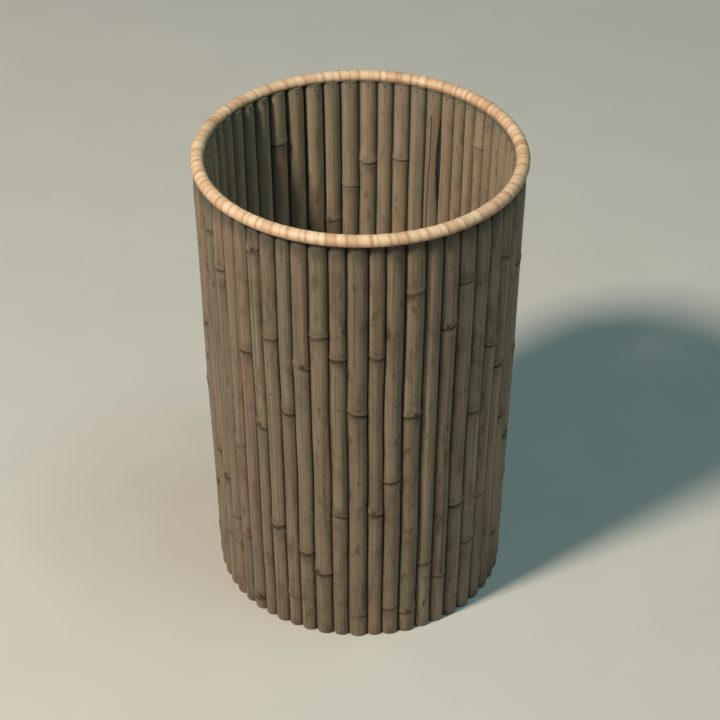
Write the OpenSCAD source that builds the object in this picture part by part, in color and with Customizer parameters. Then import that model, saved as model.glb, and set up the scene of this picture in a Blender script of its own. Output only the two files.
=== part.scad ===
// A drinking cup built like a small cask of bamboo canes, in millimetres.
// The cup stands on the plane z = 0 with its axis on Z, and its front faces -Y.
// The canes stand side by side in one ring and lean outwards, and each is planed flat where it meets the next.
// Pins in two rows cross the canes and hold a hoop inside the cup and the floor. A third row is driven in
// from inside the cup, just below the rim.
// A hoop lies on the cut tops of the canes, and one long splint is wound round it.

/* [Cup] */
// Height from the foot of the canes to the top of the rim
cup_h = 120; // [100:1:150]
// Radius of the middle line of the wall at the top of the canes
wall_top_r = 37.57; // [36:0.01:41]
// Radius of the middle line of the wall at the foot
wall_foot_r = 34.62; // [32:0.01:36]

/* [Canes] */
// Thickness of a cane of mean width, from the inside of the cup to the outside, at its top
cane_t = 3.6; // [3.2:0.05:4.2]
// Clearance between neighbouring canes
cane_gap = 0.06; // [0.04:0.01:0.1]
// Bevel on the foot ends of the canes
end_bevel = 0.35; // [0.2:0.05:0.5]
// Length of the neck at the top of each cane, where the canes part
neck_l = 3.4; // [2.5:0.1:4]
// Distance by which the neck draws in
neck_in = 0.45; // [0.3:0.05:0.6]
// Radius of the hollow at the foot end of a cane
pith_r = 0.75; // [0.6:0.05:0.9]
// Depth of that hollow
pith_l = 10; // [6:0.5:12]
// Height of the ridge at a joint of a cane
joint_rise = 0.2; // [0.1:0.01:0.3]
// Length along the cane over which a joint swells
joint_l = 5; // [3:0.1:6]

/* [Open seam] */
// Width of the one seam where two canes have bowed apart
seam_w = 1.6; // [0.6:0.05:2]
// Length of the open seam
seam_l = 26; // [20:1:44]
// Depth of the middle of the open seam below the tops of the canes
seam_drop = 20; // [16:0.5:30]

/* [Middle hoop] */
// Height of the hoop inside the cup
hoop_h = 3; // [2:0.1:4]
// Thickness of that hoop
hoop_t = 1.8; // [1.7:0.05:2.4]
// Clearance between the hoop and the canes
hoop_fit = 0.02; // [0.01:0.01:0.04]
// Bevel on the inner edges of the hoop
hoop_bevel = 0.4; // [0.2:0.05:0.6]

/* [Rim] */
// Width of the hoop that lies on the canes
rim_w = 3; // [2.4:0.1:3.6]
// Height of the hoop that lies on the canes, which makes it almost round
rim_rise = 1.75; // [1.5:0.05:2]
// Distance of the rim's middle line outside the wall's middle line
rim_shift = 0.58; // [0.3:0.01:0.9]
// Thickness of the splint that is wound round the rim
splint_t = 0.22; // [0.15:0.01:0.35]
// Gap between one turn of the splint and the next
splint_gap = 0.47; // [0.45:0.01:0.6]
// Clearance between the splint and what it lies on
splint_fit = 0.02; // [0.01:0.01:0.05]

/* [Floor] */
// Thickness of the floor
floor_t = 4; // [3:0.1:6]
// Clearance between the floor and the thickest cane
floor_fit = 0.1; // [0.05:0.01:0.2]
// Bevel round the edges of the floor
floor_bevel = 0.4; // [0.2:0.1:0.8]

/* [Pins] */
// Diameter of a pin
pin_d = 0.55; // [0.4:0.05:0.8]
// Clearance round a pin in its hole
pin_fit = 0.02; // [0.01:0.01:0.03]
// Distance that a pin stands out of the cane
pin_proud = 0.06; // [0.02:0.01:0.1]
// Depth of the top row of pins below the tops of the canes
top_row_drop = 1; // [0.9:0.1:2]
// Length of a pin of the top row, which starts inside the cup and doesn't reach the outside
top_pin_l = 2.2; // [1.8:0.1:2.4]
// Height of the middle row of pins
middle_row_z = 72; // [60:0.5:80]
// Height of the row of pins that holds the floor
floor_row_z = 16.6; // [12:0.1:24]
// Length of a pin of the two lower rows
lower_pin_l = 4.8; // [4.6:0.05:5]
// Distance that a pin may stray up or down from its row
pin_stray = 0.5; // [0:0.05:0.6]

/* [Hidden] */
// Widths of the canes, from the left of the front round to the right, as shares of the mean width
cane_shares = [
    1.02, 0.96, 1.00, 0.92, 1.00, 0.84, 0.99, 0.86, 0.97, 1.07, 0.95, 1.12, 0.88, 1.04, 1.11, 0.99, 1.02, 1.12,
    1.12, 1.08, 1.10, 1.04, 1.10, 0.98, 1.06, 1.12, 1.02, 0.82, 0.80, 0.90, 0.82, 0.86, 0.80, 0.90, 1.02, 1.00,
    1.00, 0.94, 1.07, 1.09, 1.00, 1.14, 1.16, 1.12, 1.12, 1.00, 0.96, 0.96, 0.90, 1.06, 1.10, 1.02, 1.12, 1.04
];
// Heights of the joints on each cane, as shares of the height of the cup
joint_shares = [
    [0.34], [0.29, 0.90], [0.21, 0.83], [0.18, 0.42], [0.03, 0.67], [0.50, 0.92],
    [0.26, 0.73], [0.08, 0.565], [0.21, 0.68], [0.163, 0.76], [0.32, 0.71], [0.05, 0.585],
    [0.33, 0.72], [0.07, 0.41], [0.05, 0.565, 0.86], [0.17], [0.125, 0.76], [0.30, 0.85],
    [0.18, 0.52], [0.28, 0.66], [0.59, 0.85], [0.125, 0.44], [0.36, 0.79], [0.23, 0.55],
    [0.09, 0.48], [0.31, 0.84], [0.20, 0.63], [0.41], [0.125, 0.53], [0.27, 0.68],
    [0.38, 0.89], [0.10, 0.50], [0.24, 0.585], [0.33], [0.17, 0.47], [0.06, 0.43],
    [0.29, 0.80], [0.165, 0.46], [0.37, 0.79], [0.22, 0.73], [0.10, 0.65], [0.40],
    [0.26, 0.54], [0.35, 0.86], [0.08, 0.45], [0.19, 0.565], [0.31, 0.70], [0.10, 0.49],
    [0.25, 0.63], [0.39, 0.82], [0.163, 0.55], [0.30, 0.74], [0.07, 0.46], [0.23, 0.64]
];
// A joint's outline: distance from the joint as a share of joint_l, and height as a share of joint_rise
joint_profile_shares = [[-0.35, 0], [-0.06, 0.30], [-0.02, -0.35], [0.06, 1], [0.60, 0]];
// Radius of a cane's round faces as a share of its width, and the share of extra width that also thickens it
round_share = 0.54;
thick_share = 0.35;
// Points of the neck as shares of its length, and how sharply it draws in
neck_shares = [0, 0.32, 0.79, 1.15];
neck_curve = 1.7;
// Share of each turn's advance that the splint makes on top of the rim: the rest is made below it
lean_share = 0.3;
// Where the first cane starts, in degrees from +X
first_deg = -164.8;
// The seam that stands open comes before this cane
seam_cane = 34;
// Places round the rim's section at which the splint turns, and the rounding of the rim's dome
splint_steps = 8;
arc_steps = 6;
dome_step = 1 / arc_steps;
// Length by which a tool runs past what it cuts, and the depth of solid cane left below a joint
overrun = 1;
joint_solid = 1.5;
$fn = 48;

cane_count = len(cane_shares);
function before(i) = i == 0 ? 0 : before(i - 1) + cane_shares[i - 1];
share_total = before(cane_count);
function edge_deg(i) = first_deg + 360 * before(i) / share_total;
function wide_deg(i) = 360 * cane_shares[i] / share_total;
function mid_deg(i) = edge_deg(i) + wide_deg(i) / 2;

rim_h = rim_rise + 2 * (splint_t + 2 * splint_fit);
cane_h = cup_h - rim_h;
function wall_r(z) = wall_foot_r + (wall_top_r - wall_foot_r) * z / cane_h;
function cane_w(i, z) = 2 * wall_r(z) * tan(wide_deg(i) / 2);
function thick(i, z) = cane_t * (1 + thick_share * (cane_shares[i] - 1)) * wall_r(z) / wall_top_r;
function inside_r(z) = wall_r(z) * (1 - cane_t / wall_top_r / 2);
function crest_r(i, z, side) = inside_r(z) + (side > 0 ? thick(i, z) : 0);
function axis_r(i, z, side) = crest_r(i, z, side) - side * round_share * cane_w(i, z);
function neck(drop) = drop < neck_l ? neck_in * pow(1 - drop / neck_l, neck_curve) : 0;
function face_r(i, z, side) = crest_r(i, z, side) - (side > 0 ? neck(cane_h - z) : 0);
wall_tilt = atan((wall_top_r - wall_foot_r) / cane_h);

function two(n) = n < 10 ? str("0", n) : str(n);
function cane_name(i) = str("cane_", two(i + 1));

// The outline of a cane from its axis outwards: a bevelled foot, a ridge at each joint, a neck at the top.
// The neck is on the outer face alone: there, necked is 1.
// It runs past both ends of the cane, and the cane's room cuts it to length.
module cane_outline(foot_r, top_r, l, joints, necked) {
    function side_r(z) = foot_r + (top_r - foot_r) * z / l;
    high = l - neck_l * (1 - max(neck_shares));
    polygon(concat(
        [[0, -end_bevel], [side_r(0) - 2 * end_bevel, -end_bevel], [side_r(0), end_bevel]],
        [for (z = joints, p = joint_profile_shares) [side_r(z) + p[1] * joint_rise, z + p[0] * joint_l]],
        [for (s = neck_shares) let (drop = neck_l * (1 - s)) [side_r(l - drop) - necked * neck(drop), l - drop]],
        [[0, high]]
    ));
}

// A whole body of revolution whose side is one round face of a cane, at its lean, with the cane on +X
module cane_body(i, side) {
    tilt = atan((axis_r(i, cane_h, side) - axis_r(i, 0, side)) / cane_h);
    translate([axis_r(i, 0, side), 0, 0]) rotate([0, tilt, 0]) rotate([0, 0, 90 + side * 90]) rotate_extrude()
        cane_outline(
            round_share * cane_w(i, 0),
            round_share * cane_w(i, cane_h),
            cane_h / cos(tilt),
            [for (s = joint_shares[i]) s * cup_h],
            side > 0 ? 1 : 0
        );
}

// The room that a cane may fill: between the planes through the cup's axis on its two sides
module cane_room(i) {
    tip = cane_gap / 2 / sin(wide_deg(i) / 2);
    far = wall_top_r + wall_foot_r;
    rise = (far - tip) * tan(wide_deg(i) / 2);
    linear_extrude(cane_h) polygon([[tip, 0], [far, -rise], [far, rise]]);
}

// The hollow at the foot end, which stops below the first joint
module pith(i) {
    foot_r = (crest_r(i, 0, 1) + crest_r(i, 0, -1)) / 2;
    depth = min(pith_l, joint_shares[i][0] * cup_h - joint_solid);
    translate([foot_r, 0, 0]) rotate([0, wall_tilt, 0]) translate([0, 0, -overrun])
        cylinder(r = pith_r, h = depth + overrun, $fn = 24);
}

// Where the pins of a cane stand: the rows wander a little, as rows set by eye do
function stray(i, k) = pin_stray * (sin(i * 137 + k * 71) + sin(i * 59 + k * 23)) / 2;
function top_pin_z(i) = cane_h - top_row_drop + stray(i, 0) / 2;
function lower_pin_z(i, row) = (row == 0 ? middle_row_z : floor_row_z) + stray(i, row + 1);

// A pin along the radius: room widens it into its hole, which runs out past the surface of the cane
module radial_pin(from_r, to_r, z, room) {
    translate([from_r, 0, z]) rotate([0, 90, 0]) cylinder(d = pin_d + 2 * room, h = to_r - from_r, $fn = 24);
}

module top_pin(i, room) {
    z = top_pin_z(i);
    from_r = face_r(i, z, -1) - pin_proud;
    radial_pin(from_r - (room > 0 ? overrun : 0), from_r + top_pin_l + room, z, room);
}

module lower_pin(i, row, room) {
    z = lower_pin_z(i, row);
    to_r = face_r(i, z, 1) + pin_proud;
    radial_pin(to_r - lower_pin_l - room, to_r + (room > 0 ? overrun : 0), z, room);
}

// The lens between two circles that crosses the wall where two canes have bowed apart
module open_seam() {
    round_r = (pow(seam_l / 2, 2) + pow(seam_w / 2, 2)) / seam_w;
    rotate([0, 0, edge_deg(seam_cane)]) translate([0, 0, cane_h - seam_drop]) rotate([90, 0, 90])
        linear_extrude(wall_top_r + wall_foot_r) intersection_for(side = [-1, 1])
            translate([side * (round_r - seam_w / 2), 0]) circle(r = round_r, $fn = 240);
}

module cane(i) {
    color([0.66, 0.57, 0.44]) difference() {
        rotate([0, 0, mid_deg(i)]) difference() {
            intersection() {
                cane_body(i, 1);
                cane_body(i, -1);
                cane_room(i);
            }
            pith(i);
            top_pin(i, pin_fit);
            for (row = [0, 1]) lower_pin(i, row, pin_fit);
        }
        if (i == seam_cane || i == seam_cane - 1) open_seam();
    }
}

hoop_z = middle_row_z - hoop_h / 2;
module middle_hoop() {
    foot_r = inside_r(hoop_z) - hoop_fit;
    top_r = inside_r(hoop_z + hoop_h) - hoop_fit;
    color([0.74, 0.62, 0.44]) difference() {
        translate([0, 0, hoop_z]) rotate_extrude() polygon([
            [foot_r, 0], [top_r, hoop_h], [top_r - hoop_t + hoop_bevel, hoop_h],
            [top_r - hoop_t, hoop_h - hoop_bevel], [foot_r - hoop_t, hoop_bevel],
            [foot_r - hoop_t + hoop_bevel, 0]
        ]);
        for (i = [0 : cane_count - 1]) rotate([0, 0, mid_deg(i)]) lower_pin(i, 0, pin_fit);
    }
}

// The rim's middle line, and the height of the flat side of the hoop on it
rim_mid_r = wall_top_r + rim_shift;
rim_flat_z = cane_h + splint_t + 2 * splint_fit;
dome_r = (pow(rim_w / 2, 2) + pow(rim_rise, 2)) / (2 * rim_rise);
dome_y = rim_rise - dome_r;

module rim_hoop() {
    color([0.80, 0.68, 0.48]) translate([0, 0, rim_flat_z]) rotate_extrude() intersection() {
        translate([rim_mid_r, dome_y]) circle(r = dome_r);
        translate([rim_mid_r - rim_w, 0]) square([2 * rim_w, 2 * rim_w]);
    }
}

// The splint is one strip: it turns round the hoop twice for each cane.
// A point of its section is given by its step round the hoop and its distance out from the hoop.
function dome_corner_x(out) = sqrt(pow(dome_r + out, 2) - pow(out + dome_y, 2));
function dome_deg(out) = acos(dome_corner_x(out) / (dome_r + out)) * sign(-out - dome_y);
function section(step, out) =
    step == 0 ? [0, -out] :
    step == 1 || step == splint_steps - 1 ? [(step == 1 ? 1 : -1) * dome_corner_x(out), -out] :
    let (
        from_deg = dome_deg(out),
        a = from_deg + (180 - 2 * from_deg) * (step - 1) * dome_step,
        r = (dome_r + out) / cos((180 - 2 * from_deg) * dome_step / 2)
    ) [r * cos(a), dome_y + r * sin(a)];

// The turns meet at the seams and at the middles of the canes, so a turn is as wide as half a cane
turns = 2 * cane_count;
function joint_deg(k) = let (n = (k + turns) % turns, i = floor(n / 2))
    edge_deg(i) + (n % 2 == 0 ? 0 : wide_deg(i) / 2) + 360 * (k < 0 ? -1 : k >= turns ? 1 : 0);
function turn_deg(t) = let (k = floor(t)) joint_deg(k) + (joint_deg(k + 1) - joint_deg(k)) * (t - k);
inner_reach_r = rim_mid_r - rim_w / 2 - splint_t - splint_fit;
gap_deg = asin(splint_gap / 2 / inner_reach_r);

function splint_point(step, out, deg) = let (p = section(step, out))
    [(rim_mid_r + p[0]) * cos(deg), (rim_mid_r + p[0]) * sin(deg), rim_flat_z + p[1]];
function turn_at(n) = let (step = n % splint_steps)
    floor(n / splint_steps) + (step == 0 ? 0 : (1 - lean_share) / 2 + lean_share * (step - 1) * dome_step);
splint_rings = turns * splint_steps - 1;
splint_points = [
    for (n = [0 : splint_rings])
        let (t = turn_at(n), back = turn_deg(t - 0.5) + gap_deg, lead = turn_deg(t + 0.5) - gap_deg)
            for (c = [[splint_fit, back], [splint_fit, lead], [splint_fit + splint_t, lead],
                [splint_fit + splint_t, back]])
                splint_point(n % splint_steps, c[0], c[1])
];
splint_faces = concat(
    [[0, 2, 1], [0, 3, 2]],
    [for (n = [0 : splint_rings - 1], c = [0 : 3]) [4 * n + c, 4 * n + (c + 1) % 4, 4 * n + (c + 1) % 4 + 4]],
    [for (n = [0 : splint_rings - 1], c = [0 : 3]) [4 * n + c, 4 * n + (c + 1) % 4 + 4, 4 * n + c + 4]],
    [for (f = [[0, 1, 2], [0, 2, 3]]) [for (c = f) 4 * splint_rings + c]]
);
// From each point of a turn's leading edge to the trailing edge of the next turn
function to_line(p, a, b) =
    let (s = max(0, min(1, (p - a) * (b - a) / ((b - a) * (b - a))))) norm(p - a - s * (b - a));
turn_gaps = [
    for (n = [1 : splint_rings - splint_steps - 1], c = [[1, 0], [2, 3]], d = [-1, 0])
        let (m = n + splint_steps + d)
            to_line(splint_points[4 * n + c[0]], splint_points[4 * m + c[1]], splint_points[4 * (m + 1) + c[1]])
];
echo("least gap of the rim binding to itself, mm", min(turn_gaps));

module rim_binding() {
    color([0.93, 0.81, 0.64]) polyhedron(points = splint_points, faces = splint_faces, convexity = 10);
}

floor_z = floor_row_z - floor_t / 2;
module floor_disc() {
    foot_r = inside_r(floor_z) - floor_fit;
    top_r = inside_r(floor_z + floor_t) - floor_fit;
    color([0.72, 0.58, 0.40]) difference() {
        translate([0, 0, floor_z]) rotate_extrude() polygon([
            [0, 0], [foot_r - floor_bevel, 0], [foot_r, floor_bevel],
            [top_r, floor_t - floor_bevel], [top_r - floor_bevel, floor_t], [0, floor_t]
        ]);
        for (i = [0 : cane_count - 1]) rotate([0, 0, mid_deg(i)]) lower_pin(i, 1, pin_fit);
    }
}

module top_pins() {
    color([0.30, 0.22, 0.16]) for (i = [0 : cane_count - 1]) rotate([0, 0, mid_deg(i)]) top_pin(i, 0);
}

module lower_pins() {
    color([0.30, 0.22, 0.16]) for (i = [0 : cane_count - 1], row = [0, 1])
        rotate([0, 0, mid_deg(i)]) lower_pin(i, row, 0);
}

rim_binding();
rim_hoop();
middle_hoop();
floor_disc();
top_pins();
lower_pins();
for (i = [0 : cane_count - 1]) cane(i);
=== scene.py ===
# %% [markdown]
# # A cup built of bamboo canes
# The cup is a ring of about fifty thin canes that stand side by side and lean outwards. Two rows of pins
# cross them, a third row is driven in from inside the cup, and a pale strip is wound round the hoop on top.
# The solids come from the CAD model, so this script only adds what a solid can't carry: the organic form of
# each cane, the close winding, and the finishes.
# Everything is in metres, in the frame of the CAD model. The foot is at z = 0, and the photographed side
# at -Y.

# %% The frame and the tools
import bmesh
import bpy
import math
import random
from mathutils import Matrix, Vector
from types import SimpleNamespace


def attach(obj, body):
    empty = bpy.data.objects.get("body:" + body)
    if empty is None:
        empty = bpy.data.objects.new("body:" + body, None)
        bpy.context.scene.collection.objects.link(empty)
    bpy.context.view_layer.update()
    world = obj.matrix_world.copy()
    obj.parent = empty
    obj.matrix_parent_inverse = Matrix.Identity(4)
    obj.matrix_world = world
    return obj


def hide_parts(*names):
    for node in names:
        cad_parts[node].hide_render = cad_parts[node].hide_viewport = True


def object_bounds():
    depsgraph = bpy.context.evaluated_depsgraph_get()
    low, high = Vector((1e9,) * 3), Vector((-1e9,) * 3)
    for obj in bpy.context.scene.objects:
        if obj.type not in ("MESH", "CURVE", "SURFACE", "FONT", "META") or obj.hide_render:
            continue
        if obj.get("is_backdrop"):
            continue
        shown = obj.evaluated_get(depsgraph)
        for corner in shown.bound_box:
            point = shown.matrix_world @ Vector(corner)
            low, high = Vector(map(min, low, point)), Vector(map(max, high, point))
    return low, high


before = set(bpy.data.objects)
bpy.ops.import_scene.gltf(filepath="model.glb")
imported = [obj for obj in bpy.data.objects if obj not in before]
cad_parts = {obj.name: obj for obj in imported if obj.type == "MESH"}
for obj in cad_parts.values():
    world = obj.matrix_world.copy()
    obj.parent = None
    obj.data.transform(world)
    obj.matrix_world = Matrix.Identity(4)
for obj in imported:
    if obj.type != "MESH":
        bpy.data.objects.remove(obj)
cad_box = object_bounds()
MM = 0.001
print("nodes of the CAD model:", len(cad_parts))

# %% [markdown]
# The camera comes first, because every later choice is judged through it. A photograph of a cup gives it
# away: the rim's ellipse gives the height of the eye, and the difference between the near and the far half of
# that ellipse gives the distance. Here that makes a long lens, a little over half a metre away, that looks
# down by 35 degrees.

# %% Camera
eye_elevation = math.radians(35.414)
eye_distance = 0.57196
look_height = 0.059284
sensor_width_mm = 36
lens_mm = 114.94

camera_data = bpy.data.cameras.new("camera")
camera_data.sensor_width = sensor_width_mm
camera_data.lens = lens_mm
camera = bpy.data.objects.new("camera", camera_data)
bpy.context.scene.collection.objects.link(camera)
camera.location = (
    0,
    -eye_distance * math.cos(eye_elevation),
    look_height + eye_distance * math.sin(eye_elevation),
)
camera.rotation_euler = (math.pi / 2 - eye_elevation, 0, 0)
bpy.context.scene.camera = camera
print("camera at", tuple(round(c, 4) for c in camera.location))

# %% [markdown]
# The canes are all different, so their widths and the heights of their joints are written down once, in the
# same order as in the CAD model: from the left of the front, round to the right. The widths are shares of the
# mean width, and the joints are shares of the height of the cup.

# %% Widths and joints of the canes
WIDTH_SHARES = [
    1.02, 0.96, 1.00, 0.92, 1.00, 0.84, 0.99, 0.86, 0.97, 1.07, 0.95, 1.12, 0.88, 1.04,
    1.11, 0.99, 1.02, 1.12, 1.12, 1.08, 1.10, 1.04, 1.10, 0.98, 1.06, 1.12, 1.02, 0.82,
    0.80, 0.90, 0.82, 0.86, 0.80, 0.90, 1.02, 1.00, 1.00, 0.94, 1.07, 1.09, 1.00, 1.14,
    1.16, 1.12, 1.12, 1.00, 0.96, 0.96, 0.90, 1.06, 1.10, 1.02, 1.12, 1.04,
]
JOINT_SHARES = [
    [0.34], [0.29, 0.90], [0.21, 0.83], [0.18, 0.42], [0.03, 0.67], [0.50, 0.92],
    [0.26, 0.73], [0.08, 0.565], [0.21, 0.68], [0.163, 0.76], [0.32, 0.71], [0.05, 0.585],
    [0.33, 0.72], [0.07, 0.41], [0.05, 0.565, 0.86], [0.17], [0.125, 0.76], [0.30, 0.85],
    [0.18, 0.52], [0.28, 0.66], [0.59, 0.85], [0.125, 0.44], [0.36, 0.79], [0.23, 0.55],
    [0.09, 0.48], [0.31, 0.84], [0.20, 0.63], [0.41], [0.125, 0.53], [0.27, 0.68],
    [0.38, 0.89], [0.10, 0.50], [0.24, 0.585], [0.33], [0.17, 0.47], [0.06, 0.43],
    [0.29, 0.80], [0.165, 0.46], [0.37, 0.79], [0.22, 0.73], [0.10, 0.65], [0.40],
    [0.26, 0.54], [0.35, 0.86], [0.08, 0.45], [0.19, 0.565], [0.31, 0.70], [0.10, 0.49],
    [0.25, 0.63], [0.39, 0.82], [0.163, 0.55], [0.30, 0.74], [0.07, 0.46], [0.23, 0.64],
]
cane_count = len(WIDTH_SHARES)
share_total = sum(WIDTH_SHARES)
first_angle = math.radians(-164.8)
cup_height = 120 * MM
cane_height = 117.73 * MM


def edge_angle(i):
    return first_angle + math.tau * sum(WIDTH_SHARES[:i]) / share_total


def middle_angle(i):
    return (edge_angle(i) + edge_angle(i + 1)) / 2


def wide_angle(i):
    return math.tau * WIDTH_SHARES[i] / share_total


print("canes:", cane_count, "joints:", sum(len(joints) for joints in JOINT_SHARES))

# %% [markdown]
# The wall leans outwards by a degree and a half. A cane touches the floor and the hoop inside the cup with
# its inner side, and its outer side stands out as far as the cane is thick. These are the sizes of the CAD
# model. A wide cane is a little thicker than a narrow one.

# %% Lean and thickness of the wall
wall_top_radius = 37.57 * MM
wall_foot_radius = 34.62 * MM
mean_thickness = 3.6 * MM
thicker_share = 0.35
roundness_share = 0.54
neighbour_gap = 0.004 * MM


def wall_radius(z):
    return wall_foot_radius + (wall_top_radius - wall_foot_radius) * z / cane_height


def inside_radius(z):
    return wall_radius(z) * (1 - mean_thickness / wall_top_radius / 2)


def thickness(i, z):
    share = 1 + thicker_share * (WIDTH_SHARES[i] - 1)
    return mean_thickness * share * wall_radius(z) / wall_top_radius


def cane_width(i, z):
    return 2 * wall_radius(z) * math.tan(wide_angle(i) / 2)


outer_radius = inside_radius(cane_height) + thickness(0, cane_height)
print("outer radius at the top, mm:", round(outer_radius / MM, 2))

# %% [markdown]
# A joint of bamboo has two rings: a thin sharp lip where the leaf sheath broke off, and just above it a
# rounder swelling, and some joints are bolder than others. Near the rim the outer side of the canes draws in
# to a neck, where dark gaps open between them, and both sides slope back under the rim. All of these are
# written as the distance by which the side of a cane stands out, or draws back, at a height.

# %% Swelling at the joints and the neck
neck_length = 3.4 * MM
neck_depth = 0.45 * MM
neck_curve = 1.7
outer_shoulder = SimpleNamespace(length=8 * MM, depth=0.5 * MM)
inner_shoulder = SimpleNamespace(length=6 * MM, depth=0.28 * MM)
shoulder_curve = 1.4
mean_boldness = 0.95
boldness_spread = 0.3
# Heights above a joint and how far the side stands out there, in millimetres
JOINT_FORM = [
    (-3.6, 0), (-2.0, 0.03), (-1.0, 0.08), (-0.5, 0.11), (-0.18, 0.13), (0.0, 0.06), (0.15, -0.02),
    (0.35, 0.05), (0.6, 0.17), (0.95, 0.24), (1.4, 0.18), (2.1, 0.08), (3.2, 0.02), (4.4, 0),
]


def joint_swelling(above):
    for (z0, out0), (z1, out1) in zip(JOINT_FORM, JOINT_FORM[1:]):
        if z0 <= above <= z1:
            return out0 + (out1 - out0) * (above - z0) / (z1 - z0)
    return 0


def boldness(i, k):
    return mean_boldness + boldness_spread * math.sin(i * 2.3 + k * 1.7)


def neck(z):
    share = 1 - (cane_height - z) / neck_length
    return neck_depth * share ** neck_curve if share > 0 else 0


def shoulder(z, outer):
    slope = outer_shoulder if outer else inner_shoulder
    share = 1 - (cane_height - z) / slope.length
    return slope.depth * share ** shoulder_curve if share > 0 else 0


def side_offset(i, z, outer):
    swelling = 0
    for k, share in enumerate(JOINT_SHARES[i]):
        swelling += joint_swelling((z - share * cup_height) / MM) * MM * boldness(i, k)
    return swelling - (neck(z) if outer else 0)


print("a joint stands out by, mm:", max(out for _, out in JOINT_FORM))

# %% [markdown]
# A cane begins on the lathe: half its outline is spun once round the Z axis. On the lathe its radius is one,
# and the outline only carries the heights, so that every cane can be made from the same few lines. The rows
# of points stand close together at the joints, at the foot and at the neck, and far apart on the plain
# lengths between them. At the foot the cane is hollow up to its first joint.

# %% A cane on the lathe
around = 40
pith_share = 0.36
pith_depth = 9 * MM
joint_wall = 1.5 * MM
first_row = 0.5 * MM
row_step_mm = 4.1
lowest_joint_row = 0.6 * MM
clear_below_joint = 3.9 * MM
clear_above_joint = 4.7 * MM
neck_rows = 5
weld_distance = 1e-7


def cane_heights(i):
    row_count = math.ceil((cane_height - first_row) / (row_step_mm * MM))
    heights = {first_row + k * row_step_mm * MM for k in range(row_count)}
    for share in JOINT_SHARES[i]:
        joint = share * cup_height
        joint_rows = {joint + above * MM for above, _ in JOINT_FORM}
        heights = {z for z in heights if not -clear_below_joint < z - joint < clear_above_joint}
        heights |= {z for z in joint_rows if z > lowest_joint_row}
    heights |= {cane_height - neck_length * k / neck_rows for k in range(neck_rows + 1)}
    return sorted(z for z in heights if z <= cane_height)


def cane_outline(i):
    depth = min(pith_depth, JOINT_SHARES[i][0] * cup_height - joint_wall)
    hollow = [(0, depth), (pith_share, depth), (pith_share, 0), (1, 0)]
    return hollow + [(1, z) for z in cane_heights(i)] + [(0, cane_height)]


def lathe(outline, steps):
    bm = bmesh.new()
    corners = [bm.verts.new((radius, 0, z)) for radius, z in outline]
    edges = [bm.edges.new(pair) for pair in zip(corners, corners[1:])]
    bmesh.ops.spin(bm, geom=corners + edges, cent=(0, 0, 0), axis=(0, 0, 1), dvec=(0, 0, 0),
                   angle=math.tau, steps=steps, use_merge=True, use_duplicate=False)
    bmesh.ops.remove_doubles(bm, verts=bm.verts, dist=weld_distance)
    bmesh.ops.recalc_face_normals(bm, faces=bm.faces)
    return bm


print("rows on the first cane:", len(cane_heights(0)))

# %% [markdown]
# On the cup a cane isn't a true round: where it meets its neighbours it is planed flat, so its section is
# two round faces with a narrow flat on each side. The seams aren't dead straight either: all the canes of a
# side sway together, and a cane is a little wider where they spread. One seam stands open, because its two
# canes have bowed apart.

# %% The seams between canes
seam_cane = 34
seam_width = 1.6 * MM
seam_length = 26 * MM
seam_drop = 20 * MM
seam_height = cane_height - seam_drop
sway = 0.12 * MM
# Radians that the two waves of the sway turn by in a metre
slow_wave = 95
quick_wave = 210
quick_share = 0.4


def seam_opening(z):
    reach = 2 * (z - seam_height) / seam_length
    return seam_width / 2 * (1 - reach * reach) if abs(reach) < 1 else 0


def seam_wave(k, z):
    round_cup = math.tau * k / cane_count
    calm = math.sin(math.pi * min(z, cane_height) / cane_height)
    wave = math.sin(3 * round_cup + slow_wave * z) + quick_share * math.sin(5 * round_cup - quick_wave * z)
    return sway * calm * wave


print("open seam from, mm:", round((seam_height - seam_length / 2) / MM, 1))

# %% [markdown]
# This function is the press that gives a round point of the lathe its place in that section. It works with
# the angle on the lathe: the first step of it, on either side, is laid on the flat, and the rest is spread
# over the round faces.

# %% The section of a cane
flat_angle = math.tau / around
widest_share = 0.998
smallest_sine = 1e-6


def pressed(i, angle, z):
    side = -1 if math.cos(angle) < 0 else 1
    opening = seam_opening(z) if (i, side) in ((seam_cane, -1), (seam_cane - 1, 1)) else 0
    drift = (seam_wave(i, z) + seam_wave(i + 1, z)) / 2
    growth = seam_wave(i + 1, z) - drift
    arc = roundness_share * cane_width(i, z)
    sunk = arc - thickness(i, z) / 2
    arc += side_offset(i, z, math.sin(angle) > smallest_sine)
    widest = widest_share * math.sqrt(arc * arc - sunk * sunk)
    half = min(cane_width(i, z) / 2 + growth - neighbour_gap / 2, widest) - opening
    corner = math.acos(half / arc)
    turn = abs(math.atan2(math.sin(angle), math.cos(angle) * side))
    if turn < flat_angle / 2:
        return drift + side * half, 0.0
    share = (turn - flat_angle) / (math.pi / 2 - flat_angle)
    on_arc = corner + share * (math.pi / 2 - corner)
    out = max(arc * math.sin(on_arc) - sunk, 0)
    return drift + side * arc * math.cos(on_arc), out if math.sin(angle) > 0 else -out


print("section at the crest, mm:", [round(c / MM, 2) for c in pressed(0, math.pi / 2, 0.05)])

# %% [markdown]
# Not every point of the lathe is on the skin. Those of the hollow keep their round, the foot is rounded by
# drawing its last row in, and near the rim both faces slope back.

# %% From the lathe to the section
skin_share = 0.5
foot_round = 0.2 * MM
foot_half_width = 1.9 * MM
foot_share = 1 - foot_round / foot_half_width


def in_section(i, reach, angle, z):
    if reach < skin_share:
        radius = reach * cane_width(i, z) / 2
        return radius * math.cos(angle), radius * math.sin(angle)
    across, out = pressed(i, angle, z)
    if z == 0:
        return across * foot_share, out * foot_share
    return across, out * (1 - 2 * shoulder(z, out > 0) / thickness(i, z))


print("the foot keeps a share of its width:", round(foot_share, 3))

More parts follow.
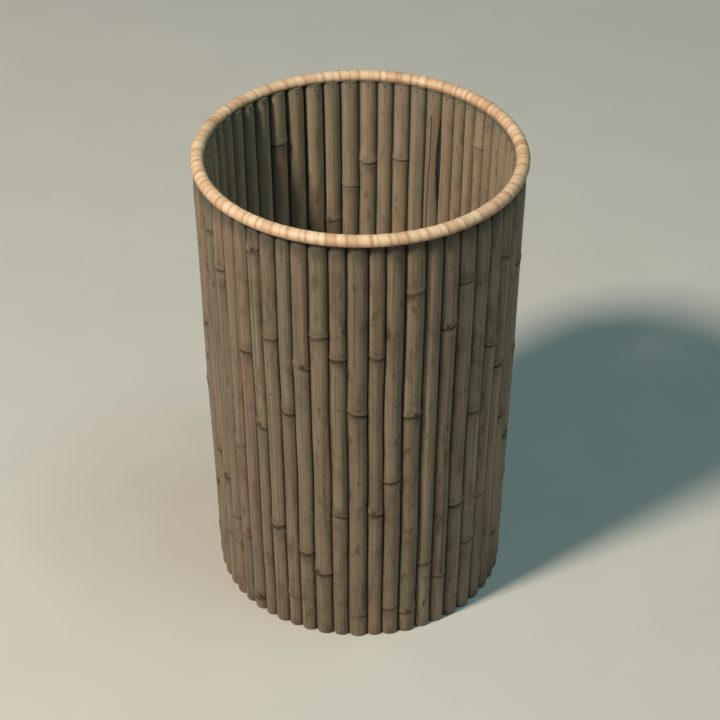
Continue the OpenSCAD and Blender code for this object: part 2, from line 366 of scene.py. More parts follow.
# %% [markdown]
# No cane is straight or clean. Each gets a slight bow, joints that run a little aslant, and a bud scar beside
# some of its joints, all from a random number generator with a fixed seed, so that the cup is the same on
# every run. Each length between two joints has a tint and an age of its own.

# %% What is left to chance
bow_seed = 500
bow_reach_mm = 0.12
bow_waves = (50, 95)
cane_seed = 100
slant_mm = (0.1, 0.6)
bud_chance = 0.6
bud_stray = 0.7
cane_tints = (0.15, 0.85)
tint_spread = 0.3


def bow(i, z):
    dice = random.Random(bow_seed + i)
    reach = dice.uniform(-bow_reach_mm, bow_reach_mm) * MM
    phase = dice.uniform(0, math.tau)
    wave = dice.uniform(*bow_waves)
    return reach * math.sin(phase + wave * z) * math.sqrt(max(0, math.sin(math.pi * z / cane_height)))


def throw_bud(dice):
    side = dice.choice((-1, 1)) * math.pi / 2
    return side + dice.uniform(-bud_stray, bud_stray), dice.random() < bud_chance


def throw_cane(i):
    dice = random.Random(cane_seed + i)
    joints = [share * cup_height for share in JOINT_SHARES[i]]
    slants = [(dice.uniform(*slant_mm) * MM, dice.uniform(0, math.tau)) for _ in joints]
    buds = [throw_bud(dice) for _ in joints]
    tint = dice.uniform(*cane_tints)
    tints = [tint + dice.uniform(-tint_spread, tint_spread) for _ in range(len(joints) + 1)]
    ages = [dice.random() for _ in tints]
    return SimpleNamespace(joints=joints, slants=slants, buds=buds, tints=tints, ages=ages)


print("bow of the first cane half way up, mm:", round(bow(0, cane_height / 2) / MM, 3))
print("canes with a bud:", sum(any(has for _, has in throw_cane(i).buds) for i in range(cane_count)))

# %% [markdown]
# One cane inside the cup is split. Its crack is drawn as a short path on the inner face, and every point of
# the cane gets its distance from it, with a sign that tells the side, so that the finish can find the crack
# sharply between two points.

# %% The crack
# The distance in millimetres that stands for a crack or a joint that isn't near
far_off = 9
# Height and place across the cane, in millimetres
CRACK_PATH = [
    (78, 0.8), (82, 0.55), (86, 0.7), (90, 0.45), (94, 0.6), (97.5, 0.4), (98.5, 0.1), (102, 0.22),
    (106, 0.0), (109, 0.15), (112, 0.05),
]


def crack_distance(i, across, out, z):
    height = z / MM
    for (z0, x0), (z1, x1) in zip(CRACK_PATH, CRACK_PATH[1:]):
        if i == seam_cane and z0 <= height <= z1:
            away = across / MM - (x0 + (x1 - x0) * (height - z0) / (z1 - z0))
            return away if out < 0 else math.copysign(far_off, away)
    nearer_end = CRACK_PATH[0 if height < CRACK_PATH[0][0] else -1]
    return math.copysign(far_off, across / MM - nearer_end[1])


print("the crack is in cane", seam_cane + 1)

# %% [markdown]
# The finish needs to know where the joints, scars and grooves are, so each point keeps some values: its place
# in the wood before the cane was leaned, its height above the nearest joint and whether that joint is near at
# all, how much of a bud scar it is, how deep in the groove it lies, and its distance from the crack. The
# fibres don't run on through a joint, nor from cane to cane, so each length has its own part of the pattern.

# %% Marks on the points of a cane
MARKS = ("joint", "near", "crack", "bud", "groove", "tint", "age")
cane_shift = Vector((31 * MM, 0, 13 * MM))
length_shift = Vector((17 * MM, 0, 0))
near_fade = 3
cut_top = 0.1 * MM
bud_width = 0.40
bud_rise = 1.1 * MM
bud_height = 0.8 * MM


def mark_layers(bm):
    wood = bm.verts.layers.float_vector.new("wood")
    return SimpleNamespace(wood=wood, **{name: bm.verts.layers.float.new(name) for name in MARKS})


def bud_scars(chance, angle, z):
    scars = []
    for joint, (bud_angle, has_bud) in zip(chance.joints, chance.buds):
        turn = math.remainder(angle - bud_angle, math.tau) / bud_width
        rise = (z - joint - bud_rise) / bud_height
        scars.append(math.exp(-turn ** 2 - rise ** 2) if has_bud else 0)
    return scars


def groove(i, reach, out, z):
    # The hollow and the cut top get the full value; at the top this darkens the cane as painted shade under
    # the rim.
    on_side = reach > skin_share and z < cane_height - cut_top
    return 1 - min(1, abs(out) / (thickness(i, z) / 2)) if on_side else 1


def mark_joint(vert, marks, chance, z):
    length = sum(joint < z for joint in chance.joints)
    above = min((z - joint for joint in chance.joints), key=abs) / MM
    vert[marks.joint] = above
    vert[marks.near] = max(0, min(1, (far_off - abs(above)) / near_fade))
    vert[marks.tint] = chance.tints[length]
    vert[marks.age] = chance.ages[length]
    return length


print("values that each point of a cane carries:", ", ".join(MARKS))

# %% [markdown]
# Last a cane is stood in the ring. Its section is wider outside than inside, as the room between the planes
# through the axis of the cup is, so its places across grow with the radius. A bud pushes the face out, and a
# slant shifts the rows near a joint up on one side and down on the other.

# %% One cane
slant_reach = 4 * MM
bud_bulge = 0.16 * MM
flat_reach = 0.2 * MM
cane_crease = math.radians(50)


def slanted(chance, angle, z):
    height = z
    for joint, (slope, toward) in zip(chance.joints, chance.slants):
        closeness = max(0, 1 - abs(z - joint) / slant_reach)
        height += slope * closeness * min(1, z / slant_reach) * math.cos(angle - toward)
    return height


def in_ring(i, across, out, z, height):
    centre = inside_radius(z) + thickness(i, z) / 2
    across *= (centre + out) / wall_radius(z)
    radius = centre + out + bow(i, z)
    cos, sin = math.cos(middle_angle(i)), math.sin(middle_angle(i))
    return radius * cos - across * sin, radius * sin + across * cos, height


def shape_cane(i):
    chance = throw_cane(i)
    bm = lathe(cane_outline(i), around)
    marks = mark_layers(bm)
    for vert in bm.verts:
        x, y, z = vert.co
        reach, angle = math.hypot(x, y), math.atan2(y, x)
        across, out = in_section(i, reach, angle, z)
        scars = bud_scars(chance, angle, z)
        length = mark_joint(vert, marks, chance, z)
        vert[marks.wood] = Vector((across, out, z)) + i * cane_shift + length * length_shift
        vert[marks.crack] = crack_distance(i, across, out, z)
        vert[marks.groove] = groove(i, reach, out, z)
        vert[marks.bud] = max(scars)
        if abs(out) > flat_reach:
            out += math.copysign(bud_bulge * sum(scars), out)
        vert.co = in_ring(i, across, out, z, slanted(chance, angle, z))
    return bm


def as_piece(bm, name, node, crease=None):
    """A finished mesh as a piece of the cup, which takes the place of a CAD node."""
    mesh = bpy.data.meshes.new(name)
    bm.to_mesh(mesh)
    bm.free()
    if crease is not None:
        mesh.set_sharp_from_angle(angle=crease)
        for polygon in mesh.polygons:
            polygon.use_smooth = True
    piece = bpy.data.objects.new(name, mesh)
    bpy.context.scene.collection.objects.link(piece)
    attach(piece, "root")
    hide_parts(node)
    return piece


culms = [
    as_piece(shape_cane(i), "culm_%02d" % (i + 1), "cane_%02d" % (i + 1), cane_crease)
    for i in range(cane_count)
]
print("triangles in the canes:", sum(len(p.vertices) - 2 for c in culms for p in c.data.polygons))

# %% [markdown]
# The rim is one pale strip, wound round a hoop so closely that its edges touch. It could be faked with a
# grooved ring, but a real winding has edges that lean a little and cross under the hoop. So a long flat grid
# is bent: its length follows the turns, and its width becomes the closed section of the strip, crowned on
# the outside. Two turns cover each cane, and every second joint lies over a gap between canes and is the
# deeper one.

# %% Path of the strip
rim_overhang = 0.58 * MM
hoop_lift = 0.26 * MM
rim_middle_radius = wall_top_radius + rim_overhang
hoop_base = cane_height + hoop_lift
dome_radius = 1.518 * MM
dome_rise = 0.232 * MM
strip_lift = 0.08 * MM
strip_gap = 0.05 * MM
turns = 2 * cane_count
# Share of a turn on the flank of the hoop, and how far the turn has advanced there
flank_share = 0.2
flank_advance = 0.32


def joint_angle(k):
    lap, k = divmod(k, turns)
    i = k // 2
    stray_share = 0.09 * math.sin(k * 2.7) + 0.06 * math.sin(k * 7.1)
    return edge_angle(i) + wide_angle(i) * ((0.5 if k % 2 else 0) + stray_share) + lap * math.tau


def turn_angle(turn):
    k = math.floor(turn)
    return joint_angle(k) + (joint_angle(k + 1) - joint_angle(k)) * (turn - k)


def advance(share):
    """How far a turn has advanced: mostly under the hoop, so that the turns look square on top."""
    if share <= flank_share:
        return share / flank_share * flank_advance
    if share >= 1 - flank_share:
        return 1 - (1 - share) / flank_share * flank_advance
    return 0.5 + (share - 0.5) / (1 - 2 * flank_share) * (1 - 2 * flank_advance)


def strip_angle(turn, place):
    half_gap = strip_gap / 2 / rim_middle_radius
    back = turn_angle(turn - 0.5) + half_gap
    lead = turn_angle(turn + 0.5) - half_gap
    return (back + lead) / 2 + place * (lead - back) / 2


print("turns of the strip:", turns)

# %% [markdown]
# Round the hoop the strip follows a dome with a flat underside. A point of the strip is found from its place
# on that path and its height over it, along the direction that points away from the hoop.

# %% Section of the rim
small_angle = 0.01


def rim_section(angle):
    """Place on the path: out from the rim's middle line, and up from the hoop's flat side."""
    radius = dome_radius + strip_lift
    return -radius * math.sin(angle), max(dome_rise - radius * math.cos(angle), -strip_lift)


def over_rim(angle, height):
    x, y = rim_section(angle)
    x1, y1 = rim_section(angle + small_angle)
    x0, y0 = rim_section(angle - small_angle)
    length = math.hypot(x1 - x0, y1 - y0)
    return x + (y1 - y0) / length * height, y - (x1 - x0) / length * height


print("top of the path above the foot, mm:", round((hoop_base + rim_section(math.pi)[1]) / MM, 2))

# %% [markdown]
# The section of the strip has a crown, thin edges and a flat back. The turns differ a little in tint and in
# height, and the finish gets three values from each point: how near an edge it is, how low on the rim it
# lies, and the tint of its turn.

# %% The strip
strip_seed = 7
rings_per_turn = 24
half_width = 1.1 * MM
turn_length = 9.3 * MM
low_reach = 0.9 * MM
swell_mm = (-0.04, 0.02)
deep_drop_mm = 0.06
shallow_share = 0.62
strip_crease = math.radians(60)
# Across the strip: place from the back edge to the leading edge, height over its middle line, in millimetres
STRIP_FORM = [
    (-1, -0.06), (-1, 0.0), (-0.93, 0.06), (-0.78, 0.11), (-0.45, 0.145), (0, 0.16), (0.45, 0.145),
    (0.78, 0.11), (0.93, 0.06), (1, 0.0), (1, -0.06), (0, -0.06),
]


def throw_strip():
    dice = random.Random(strip_seed)
    slow = [0.5 + 0.3 * math.sin(k * 0.8) * math.sin(k * 0.27) for k in range(turns + 1)]
    tints = [tint + dice.uniform(-tint_spread, tint_spread) for tint in slow]
    return tints, [dice.uniform(*swell_mm) for _ in slow]


def shape_strip():
    rings = turns * rings_per_turn
    bm = bmesh.new()
    bmesh.ops.create_grid(bm, x_segments=rings, y_segments=len(STRIP_FORM), size=1)
    wood = bm.verts.layers.float_vector.new("wood")
    edge, low, tint = [bm.verts.layers.float.new(name) for name in ("edge", "low", "tint")]
    tints, swells = throw_strip()
    for vert in bm.verts:
        ring = round((vert.co.x + 1) / 2 * rings)
        place, height = STRIP_FORM[round((vert.co.y + 1) / 2 * len(STRIP_FORM)) % len(STRIP_FORM)]
        lap, share = divmod(ring / rings_per_turn, 1)
        deep = (lap % 2 == 0) == (place < 0)
        height += 0 if place in (-1, 1) else swells[int(lap)]
        height -= deep_drop_mm * abs(place) ** 3 if deep else 0
        x, y = over_rim(share * math.tau, height * MM)
        angle = strip_angle(lap + advance(share), place)
        radius = rim_middle_radius + x
        vert.co = (radius * math.cos(angle), radius * math.sin(angle), hoop_base + y)
        vert[wood] = (place * half_width, 0, (lap + share) * turn_length)
        vert[edge] = place ** 2 * (1 if deep else shallow_share)
        vert[low] = max(0, 1 - max(0, y) / low_reach)
        vert[tint] = tints[int(lap)]
    bmesh.ops.remove_doubles(bm, verts=bm.verts, dist=weld_distance)
    bmesh.ops.holes_fill(bm, edges=[e for e in bm.edges if e.is_boundary], sides=len(STRIP_FORM))
    bmesh.ops.recalc_face_normals(bm, faces=bm.faces)
    return bm


rim_strip = as_piece(shape_strip(), "rim_strip", "rim_binding", strip_crease)
low, high = [Vector(f(v.co[a] for v in rim_strip.data.vertices) for a in range(3)) for f in (min, max)]
print("strip from", tuple(round(c, 4) for c in low), "to", tuple(round(c, 4) for c in high))

# %% [markdown]
# The pins are slivers of dark wood, cut off almost flush with the canes. Each is a small ten-sided rod with
# its ends bevelled, laid along the radius of the cup. There are over a hundred and fifty, so each has few
# faces. Their rows wander a little up and down, as in the CAD model. The pins of the top row start inside
# the cup, just below the rim, and end inside the wood.

# %% Shape of a pin
pin_radius = 0.275 * MM
pin_proud = 0.06 * MM
pin_sides = 10
pin_bevel = 0.09 * MM
level = 1e-9


def face_radius(i, z, side):
    crest = inside_radius(z) + (thickness(i, z) if side > 0 else shoulder(z, False))
    return crest + side * side_offset(i, z, side > 0) + bow(i, z) + side * pin_proud


def add_pin(bm, i, z, start, end):
    made = bmesh.ops.create_cone(bm, cap_ends=True, segments=pin_sides, radius1=pin_radius,
                                 radius2=pin_radius, depth=end - start)
    verts = made["verts"]
    rims = {e for v in verts for e in v.link_edges if abs(e.verts[0].co.z - e.verts[1].co.z) < level}
    rounded = bmesh.ops.bevel(bm, geom=list(rims), offset=pin_bevel, affect="EDGES", segments=1,
                              profile=0.5, material=-1)
    verts = list({v for f in rounded["faces"] for v in f.verts} | {v for v in verts if v.is_valid})
    lying = Matrix.Rotation(math.pi / 2, 3, "Y")
    bmesh.ops.rotate(bm, verts=verts, cent=(0, 0, 0), matrix=lying)
    bmesh.ops.translate(bm, verts=verts, vec=((start + end) / 2, 0, z))
    bmesh.ops.rotate(bm, verts=verts, cent=(0, 0, 0), matrix=Matrix.Rotation(middle_angle(i), 3, "Z"))


print("thickness of a pin, mm:", round(2 * pin_radius / MM, 2))

# %% The rows of pins
pin_stray = 0.25 * MM
lower_pin_length = 4.8 * MM
top_pin_length = 2.2 * MM
top_row_drop = 1.0 * MM
lower_row_heights = (72 * MM, 16.6 * MM)


def stray(i, k):
    wander = math.sin(math.radians(i * 137 + k * 71)) + math.sin(math.radians(i * 59 + k * 23))
    return pin_stray * wander


def shape_top_pins():
    bm = bmesh.new()
    for i in range(cane_count):
        z = cane_height - top_row_drop + stray(i, 0) / 2
        start = face_radius(i, z, -1)
        add_pin(bm, i, z, start, start + top_pin_length)
    return bm


def shape_lower_pins():
    bm = bmesh.new()
    for i in range(cane_count):
        for row, row_height in enumerate(lower_row_heights):
            z = row_height + stray(i, row + 1)
            end = face_radius(i, z, 1)
            add_pin(bm, i, z, end - lower_pin_length, end)
    return bm


upper_pins = as_piece(shape_top_pins(), "upper_pin_row", "top_pins")
lower_pins = as_piece(shape_lower_pins(), "lower_pin_rows", "lower_pins")
print("faces of the pins:", len(upper_pins.data.polygons) + len(lower_pins.data.polygons))

# %% [markdown]
# ## Finishes
# All the wood is shaded by the same kind of network: stretched noise for the fibres, wider noise for the
# blotches, and the values that the pieces carry for what sits in one place, such as the brown of a joint.
# The helpers below keep the networks short: one adds a node with its settings, and the others are the few
# kinds of node that every wood needs.

# %% Helpers for the finishes
class Finish:
    def __init__(self, name):
        self.material = bpy.data.materials.new(name)
        self.material.use_nodes = True
        self.nodes = self.material.node_tree.nodes
        self.links = self.material.node_tree.links
        self.shader = self.nodes["Principled BSDF"]

    def wire(self, socket, value):
        if isinstance(value, bpy.types.NodeSocket):
            self.links.new(value, socket)
        else:
            socket.default_value = value

    def add(self, kind, inputs=(), **settings):
        node = self.nodes.new(kind)
        for key, value in settings.items():
            setattr(node, key, value)
        for key, value in dict(inputs).items():
            self.wire(node.inputs[key], value)
        return node

    def carried(self, name, vector=False):
        node = self.add("ShaderNodeAttribute", attribute_name=name)
        return node.outputs["Vector" if vector else "Fac"]

    def object_place(self):
        return self.add("ShaderNodeTexCoord").outputs["Object"]

    def part(self, vector, axis):
        return self.add("ShaderNodeSeparateXYZ", {"Vector": vector}).outputs[axis]

    def math(self, operation, a, b=0.0):
        return self.add("ShaderNodeMath", {0: a, 1: b}, operation=operation).outputs[0]

    def plus(self, a, b):
        return self.math("ADD", a, b)

    def times(self, a, b):
        return self.math("MULTIPLY", a, b)

    def centred(self, noise, reach):
        return self.times(self.math("SUBTRACT", noise, 0.5), reach)

    def stretched(self, vector, scale, offset=(0, 0, 0)):
        inputs = {"Vector": vector, "Scale": scale, "Location": offset}
        return self.add("ShaderNodeMapping", inputs).outputs[0]

    def noise(self, vector, detail=2.0, roughness=0.5):
        inputs = {"Vector": vector, "Scale": 1.0, "Detail": detail, "Roughness": roughness}
        return self.add("ShaderNodeTexNoise", inputs).outputs["Fac"]

    def between(self, value, low, high, start=0.0, end=1.0):
        inputs = {"Value": value, "From Min": low, "From Max": high, "To Min": start, "To Max": end}
        node = self.add("ShaderNodeMapRange", inputs, clamp=True, interpolation_type="SMOOTHSTEP")
        return node.outputs["Result"]

    def blend(self, amount, under, over, how="MIX"):
        node = self.add("ShaderNodeMix", data_type="RGBA", blend_type=how)
        for socket, value in ((node.inputs[0], amount), (node.inputs[6], under), (node.inputs[7], over)):
            self.wire(socket, value)
        return node.outputs[2]

    def ramp(self, value, stops):
        node = self.add("ShaderNodeValToRGB", {"Fac": value})
        elements = node.color_ramp.elements
        while len(elements) < len(stops):
            elements.new(0.5)
        for element, (place, colour) in zip(elements, stops):
            element.position = place
            element.color = colour
        return node.outputs["Color"]

    def bump(self, height, distance, strength, normal=None):
        node = self.add("ShaderNodeBump", {"Height": height, "Distance": distance, "Strength": strength})
        if normal is not None:
            self.links.new(normal, node.inputs["Normal"])
        return node.outputs["Normal"]

    def finish(self, colour, roughness, normal):
        self.wire(self.shader.inputs["Base Color"], colour)
        self.wire(self.shader.inputs["Roughness"], roughness)
        self.wire(self.shader.inputs["Normal"], normal)
        return self.material


def srgb(red, green, blue):
    """A colour as a paint chart gives it, from 0 to 255, as the shader wants it."""
    def linear(c):
        c /= 255
        return c / 12.92 if c <= 0.04045 else ((c + 0.055) / 1.055) ** 2.4
    return (linear(red), linear(green), linear(blue), 1.0)


def paint(pieces, material):
    for piece in pieces:
        piece.data.materials.clear()
        piece.data.materials.append(material)


print("cane colour as the shader wants it:", tuple(round(c, 3) for c in srgb(178, 155, 122)))

# %% [markdown]
# Old bamboo is a greyish tan that turns pinkish, yellowish or greenish from cane to cane, and along each cane
# in long streaks. The noises are stretched along the cane by giving them far more repeats across it than
# along it. They are made once, because most of the marks on the skin share them.

# %% Patterns in the bamboo
side_blur = 0.4 * MM


def skin_patterns(f):
    wood = f.carried("wood", vector=True)
    outward = f.part(wood, "Y")
    carried = {name: f.carried(name) for name in MARKS}
    return SimpleNamespace(
        wood=wood,
        outer=f.between(outward, -side_blur, side_blur, 0.0, 0.95),
        inner=f.between(outward, side_blur, -side_blur),
        fibres=f.noise(f.stretched(wood, (3800, 3800, 32)), 4.0, 0.65),
        streaks=f.noise(f.stretched(wood, (1300, 1300, 14), (3, 1, 7)), 3.0, 0.6),
        hues=f.noise(f.stretched(wood, (800, 800, 11), (6, 2, 4)), 2.0),
        blotches=f.noise(f.stretched(wood, (360, 360, 110), (9, 4, 2)), 4.0, 0.62),
        smudges=f.noise(f.stretched(wood, (520, 520, 190), (1, 8, 5)), 5.0, 0.66),
        ragged=f.noise(f.stretched(wood, (1500, 1500, 1500), (2, 2, 9)), 3.0, 0.6),
        **carried,
    )


print("blur between the inner and the outer face, mm:", side_blur / MM)

# %% [markdown]
# The skin itself starts from the tint of each length. Over it go broad pinkish and greenish hues, then
# streaks, fibres and blotches, each with a dark and a light end, and last soft brown smudges, which are
# stronger on the older lengths.

# %% Colour of the skin
def skin_colour(f, p):
    body = f.ramp(p.tint, [
        (0.0, srgb(158, 140, 109)), (0.2, srgb(168, 141, 111)), (0.4, srgb(155, 131, 105)),
        (0.6, srgb(148, 136, 106)), (0.8, srgb(178, 155, 122)), (1.0, srgb(152, 130, 100)),
    ])
    body = f.blend(f.between(p.hues, 0.50, 0.68, 0.0, 0.75), body, srgb(178, 136, 114))
    body = f.blend(f.between(p.hues, 0.48, 0.30, 0.0, 0.65), body, srgb(124, 125, 102))
    body = f.blend(f.between(p.streaks, 0.50, 0.72, 0.0, 0.75), body, srgb(106, 84, 63))
    body = f.blend(f.between(p.streaks, 0.44, 0.26, 0.0, 0.6), body, srgb(186, 163, 131))
    body = f.blend(f.between(p.fibres, 0.46, 0.74, 0.0, 0.6), body, srgb(98, 79, 59))
    body = f.blend(f.between(p.fibres, 0.44, 0.26, 0.0, 0.4), body, srgb(194, 170, 138))
    body = f.blend(f.between(p.blotches, 0.50, 0.72, 0.0, 0.65), body, srgb(114, 88, 66))
    body = f.blend(f.between(p.blotches, 0.44, 0.24, 0.0, 0.35), body, srgb(176, 158, 128))
    smudged = f.times(f.between(p.smudges, 0.53, 0.72), f.between(p.age, 0.0, 1.0, 0.35, 1.0))
    body = f.blend(smudged, body, srgb(80, 64, 48))
    patches = f.noise(f.stretched(p.wood, (160, 160, 60), (5, 5, 1)), 2.0)
    darkened = f.times(f.between(patches, 0.5, 0.7, 0.0, 0.3), p.age)
    return f.blend(darkened, body, srgb(104, 84, 62))


print("lengths with a tint of their own:", cane_count + sum(len(joints) for joints in JOINT_SHARES))

# %% [markdown]
# A joint is a smear of brown with a thin broken dark line in the scar of the sheath, a lighter swelling over
# it, partly worn and partly a painted highlight, and a pale bloom under it. Its height above the joint, which
# each point carries, is roughened with noise first, so that no edge of these is clean. A bud scar is brown
# with a darker heart.

# %% Colour of the joints and the buds
def with_joints(f, p, body):
    above = f.plus(p.joint, f.centred(p.ragged, 0.9))
    away = f.math("ABSOLUTE", above)
    bloom = f.times(p.near, f.between(above, -3.4, -0.5, 0.0, 0.45))
    body = f.blend(f.times(bloom, f.between(above, 0.1, -0.2)), body, srgb(184, 166, 136))
    uneven = f.between(f.noise(f.stretched(p.wood, (25, 25, 25))), 0.36, 0.60, 0.35, 1.0)
    strong = f.times(p.near, uneven)
    smear = f.between(f.plus(away, f.times(p.blotches, 7.0)), 7.2, 2.6)
    body = f.blend(f.times(strong, smear), body, srgb(94, 68, 45))
    # The swelling is lightened, partly as wear and partly as a painted highlight.
    swelling = f.times(f.between(away, 1.7, 0.8), f.between(above, 0.4, 0.9, 0.0, 0.4))
    body = f.blend(f.times(p.near, swelling), body, srgb(188, 155, 113))
    line = f.times(f.between(p.smudges, 0.40, 0.56, 0.25, 1.0), f.between(away, 0.55, 0.08))
    return f.blend(f.times(strong, line), body, srgb(46, 34, 24))


def with_buds(f, p, body):
    scarred = f.plus(p.bud, f.centred(p.ragged, 0.5))
    body = f.blend(f.between(scarred, 0.10, 0.55, 0.0, 0.7), body, srgb(108, 74, 48))
    return f.blend(f.between(scarred, 0.62, 0.82, 0.0, 0.9), body, srgb(46, 32, 23))


# %% [markdown]
# The grooves between the canes are darkened, brown outside and greenish inside the cup, partly by dirt and
# partly as painted shade, and a painted shadow of the rim lies as a dark band under it, mostly outside. The
# band reads the height on Object coordinates, and the grooves draw it further down. Specks of mildew are
# cells of a pattern, cut down to small dots.

# %% Dirt and painted shade, specks and the crack
# Heights between which the painted shadow of the rim fades in, and how far its edge wanders.
rim_shadow_start = cane_height - 5.5 * MM
rim_shadow_full = cane_height - 1.5 * MM
rim_shadow_wander = 2.2 * MM


def with_grime_and_shade(f, p, body):
    # The grooves are darkened, partly by dirt and partly as painted shade.
    edge = f.plus(p.groove, f.centred(p.blotches, 0.5))
    edge = f.plus(edge, f.times(p.inner, 0.1))
    grime_and_shade_colour = f.blend(p.inner, srgb(54, 43, 31), srgb(52, 62, 54))
    body = f.blend(f.between(edge, 0.40, 0.86, 0.0, 0.9), body, grime_and_shade_colour)
    # Painted shadow of the rim: a dark band under it, mostly outside.
    wander = f.times(f.math("SUBTRACT", p.blotches, edge), rim_shadow_wander)
    height = f.plus(f.part(f.object_place(), "Z"), wander)
    rim_shadow = f.between(height, rim_shadow_start, rim_shadow_full, 0.0, 0.55)
    outside = f.between(p.inner, 0.0, 1.0, 1.0, 0.25)
    return f.blend(f.times(rim_shadow, outside), body, srgb(54, 59, 51))


def with_specks(f, p, body):
    cells = f.add("ShaderNodeTexVoronoi", {"Vector": f.stretched(p.wood, (620, 620, 300)), "Scale": 1.0})
    specks = f.between(cells.outputs["Distance"], 0.12, 0.05, 0.0, 0.7)
    return f.blend(specks, body, srgb(62, 46, 33))


def crack_width(f, p):
    return f.math("ABSOLUTE", f.plus(p.crack, f.centred(p.ragged, 0.45)))


print("the dark band begins below the tops of the canes by, mm:", round((cane_height - rim_shadow_start) / MM, 1))

# %% [markdown]
# Put together, the marks go on in this order: skin, joints, buds, dirt with painted shade, specks and the
# crack. Last the inner faces are lightened as painted light, and the outer faces are darkened and cooled as
# painted shade. Fibres, blotches and the crack also dent the surface a little.

# %% Bamboo
def bamboo_finish():
    f = Finish("old_bamboo_skin")
    p = skin_patterns(f)
    body = skin_colour(f, p)
    for add_marks in (with_joints, with_buds, with_grime_and_shade, with_specks):
        body = add_marks(f, p, body)
    crack = crack_width(f, p)
    # The crack is darkened as painted shade in the split.
    body = f.blend(f.between(crack, 0.13, 0.06), body, srgb(26, 20, 15))
    # Painted light and shade: the inner faces are lightened, and the outer faces darkened and cooled.
    body = f.blend(f.times(p.inner, 0.25), body, srgb(162, 164, 150))
    body = f.blend(p.outer, body, srgb(205, 214, 220), "MULTIPLY")
    roughness = f.between(f.plus(p.fibres, p.blotches), 0.7, 1.4, 0.48, 0.66)
    normal = f.bump(f.plus(p.fibres, p.streaks), 0.05 * MM, 0.6)
    normal = f.bump(p.blotches, 0.16 * MM, 0.4, normal)
    normal = f.bump(f.between(crack, 0.05, 0.25), 0.3 * MM, 1.0, normal)
    return f.finish(body, roughness, normal)


paint(culms, bamboo_finish())
print("canes painted:", len(culms))

# %% [markdown]
# The strip on the rim was split from the inside of a cane, where the wood is pale and matt. Its crown stays
# pale, tan lies along its edges, most at the deeper joints, and its lower part is darkened as painted shade.
# Its fibres run along the strip, so over the rim and not round it.

# %% Pale splint
def splint_finish():
    f = Finish("pale_splint")
    wood = f.carried("wood", vector=True)
    fibres = f.noise(f.stretched(wood, (3600, 3600, 70)), 3.0, 0.6)
    blotches = f.noise(f.stretched(wood, (500, 500, 160), (4, 2, 1)), 3.0)
    body = f.ramp(f.carried("tint"), [
        (0.0, srgb(206, 175, 144)), (0.3, srgb(224, 198, 166)), (0.65, srgb(211, 178, 146)),
        (1.0, srgb(184, 146, 114)),
    ])
    body = f.blend(f.between(fibres, 0.35, 0.8, 0.0, 0.35), body, srgb(192, 150, 114))
    body = f.blend(f.between(blotches, 0.48, 0.75, 0.0, 0.5), body, srgb(186, 140, 104))
    faded = f.between(f.noise(f.stretched(wood, (60, 60, 60), (8, 3, 3)), 2.0), 0.35, 0.65, 0.4, 1.0)
    tan_edge = f.times(faded, f.between(f.carried("edge"), 0.30, 1.0, 0.0, 0.75))
    body = f.blend(tan_edge, body, srgb(162, 121, 88))
    shaded = f.times(f.carried("low"), f.between(blotches, 0.3, 0.6, 0.4, 0.8))
    body = f.blend(shaded, body, srgb(150, 112, 82))
    roughness = f.between(fibres, 0.3, 0.8, 0.45, 0.65)
    return f.finish(body, roughness, f.bump(fibres, 0.02 * MM, 0.5))


paint([rim_strip], splint_finish())
print("strip painted:", rim_strip.data.materials[0].name)

# %% [markdown]
# The hoops, the floor and the pins keep the solids of the CAD model or follow them closely. The floor is a
# slice of plank, so its grain is a set of stretched rings on Object coordinates. The hoops are split cane,
# and the pins are darkened wood with a spotted grain, since little more than their cut ends shows.

# %% Plain woods
def plank_finish(name, light, dark, rings_per_metre):
    f = Finish(name)
    place = f.object_place()
    wander = f.noise(f.stretched(place, (60, 9, 60)), 3.0)
    rings = f.add("ShaderNodeTexWave", {
        "Vector": f.stretched(place, (1, 0.12, 1)), "Scale": rings_per_metre, "Distortion": 5.0,
        "Detail": 3.0, "Detail Scale": 1.5,
    }, wave_type="RINGS", rings_direction="Y").outputs["Fac"]
    pores = f.noise(f.stretched(place, (2200, 120, 2200)), 3.0, 0.6)
    body = f.blend(f.between(rings, 0.2, 0.9), light, dark)
    body = f.blend(f.between(pores, 0.5, 0.8, 0.0, 0.5), body, srgb(96, 70, 46))
    body = f.blend(f.between(wander, 0.5, 0.75, 0.0, 0.4), body, srgb(120, 92, 62))
    return f.finish(body, f.between(pores, 0.3, 0.8, 0.5, 0.75), f.bump(pores, 0.05 * MM, 0.5))


def pin_finish():
    f = Finish("dark_pin_wood")
    grain = f.noise(f.stretched(f.object_place(), (3000, 3000, 3000)), 3.0)
    body = f.blend(f.between(grain, 0.35, 0.7), srgb(56, 42, 31), srgb(98, 74, 53))
    return f.finish(body, f.between(grain, 0.3, 0.7, 0.5, 0.8), f.bump(grain, 0.03 * MM, 0.6))


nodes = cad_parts
floor_plank = plank_finish("floor_plank", srgb(176, 140, 98), srgb(146, 108, 70), 90)
split_cane = plank_finish("split_cane", srgb(186, 156, 112), srgb(158, 124, 84), 160)
paint([nodes["floor_disc"]], floor_plank)
paint([nodes["middle_hoop"], nodes["rim_hoop"]], split_cane)
paint([upper_pins, lower_pins], pin_finish())
print("CAD nodes that still show:", [n for n, o in nodes.items() if not o.hide_render])

# %% [markdown]
# ## Studio
# The cup stands on a plain pale floor of matt paper, which is large enough to fill the picture.

# %% Floor of the studio
ground_size = 6


def paper_finish():
    f = Finish("studio_paper")
    mottle = f.noise(f.stretched(f.object_place(), (40, 40, 40)), 2.0)
    body = f.blend(mottle, srgb(190, 189, 184), srgb(197, 196, 191))
    return f.finish(body, 0.9, f.bump(mottle, 0.1 * MM, 0.1))


bpy.ops.mesh.primitive_plane_add(size=ground_size)
ground = bpy.context.object
ground.name = "studio_floor"
ground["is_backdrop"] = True
paint([ground], paper_finish())
print("floor of the studio at z =", ground.location.z)

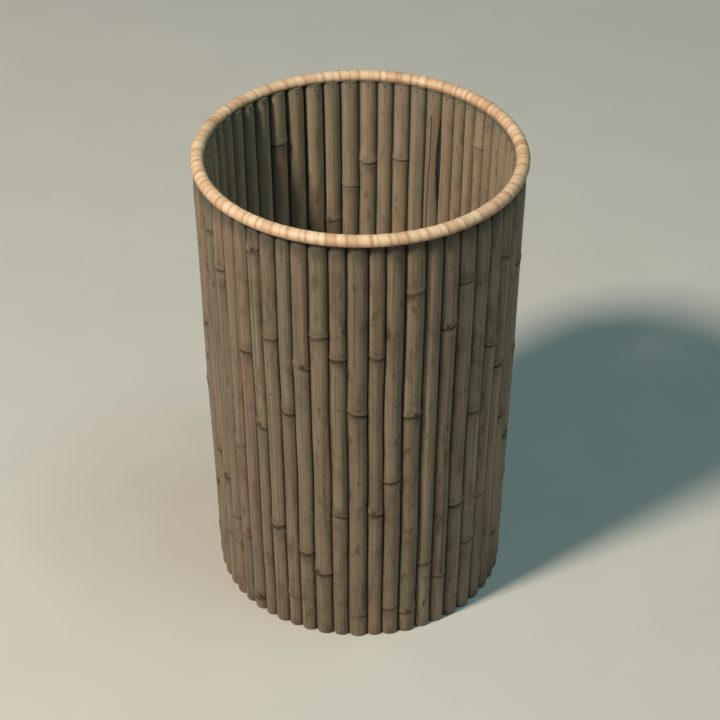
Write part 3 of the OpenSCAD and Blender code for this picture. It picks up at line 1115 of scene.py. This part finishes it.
# %% [markdown]
# The light is one warm soft lamp on the left in front of the cup, as in the photograph, and a dim, slightly
# greenish light from above and everywhere else, with a small spot of it for the shaded side inside the cup.
# The lamps are set so that a colour renders about as it is written.

# %% Lamps
warm = (1.0, 0.86, 0.72)
cool = (0.64, 0.97, 1.0)
key_elevation = math.radians(50)
key_angle = math.radians(51)
key_direction = Vector((
    -math.sin(key_angle) * math.cos(key_elevation),
    -math.cos(key_angle) * math.cos(key_elevation),
    math.sin(key_elevation),
))
key_distance = 1.1
fill_direction = Vector((0.4, -0.15, 1.3))
fill_distance = 1.3
cup_middle = Vector((0, 0, cup_height / 2))
shaded_side = Vector((-33 * MM, 8 * MM, 80 * MM))
glow_offset = Vector((0.133, -0.06, 0.315))


def lamp(name, kind, power, colour, target, offset):
    data = bpy.data.lights.new(name, kind)
    data.energy = power
    data.color = colour
    piece = bpy.data.objects.new(name, data)
    bpy.context.scene.collection.objects.link(piece)
    piece.location = target + offset
    piece.rotation_euler = (target - piece.location).to_track_quat("-Z", "Y").to_euler()
    return data


key = lamp("key_lamp", "AREA", 13.6, warm, cup_middle, key_direction.normalized() * key_distance)
key.shape = "DISK"
key.size = 0.16
fill = lamp("fill_lamp", "AREA", 5.2, cool, cup_middle, fill_direction.normalized() * fill_distance)
fill.shape = "DISK"
fill.size = 0.8
glow = lamp("inside_glow", "SPOT", 0.75, (0.62, 1.0, 0.97), shaded_side, glow_offset)
glow.spot_size = math.radians(15)
glow.spot_blend = 1.0
glow.shadow_soft_size = 0.04

# %% Light from everywhere
world = bpy.data.worlds.new("studio_light")
bpy.context.scene.world = world
world.use_nodes = True
background = world.node_tree.nodes["Background"]
background.inputs["Color"].default_value = (0.66, 0.98, 1.0, 1)
background.inputs["Strength"].default_value = 0.04
bpy.context.scene.view_settings.view_transform = "Standard"
print("view transform:", bpy.context.scene.view_settings.view_transform)

# %% Last measures
new_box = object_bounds()
for title, box in (("CAD box", cad_box), ("visual box", new_box)):
    print(title, [[round(x, 4) for x in c] for c in box])
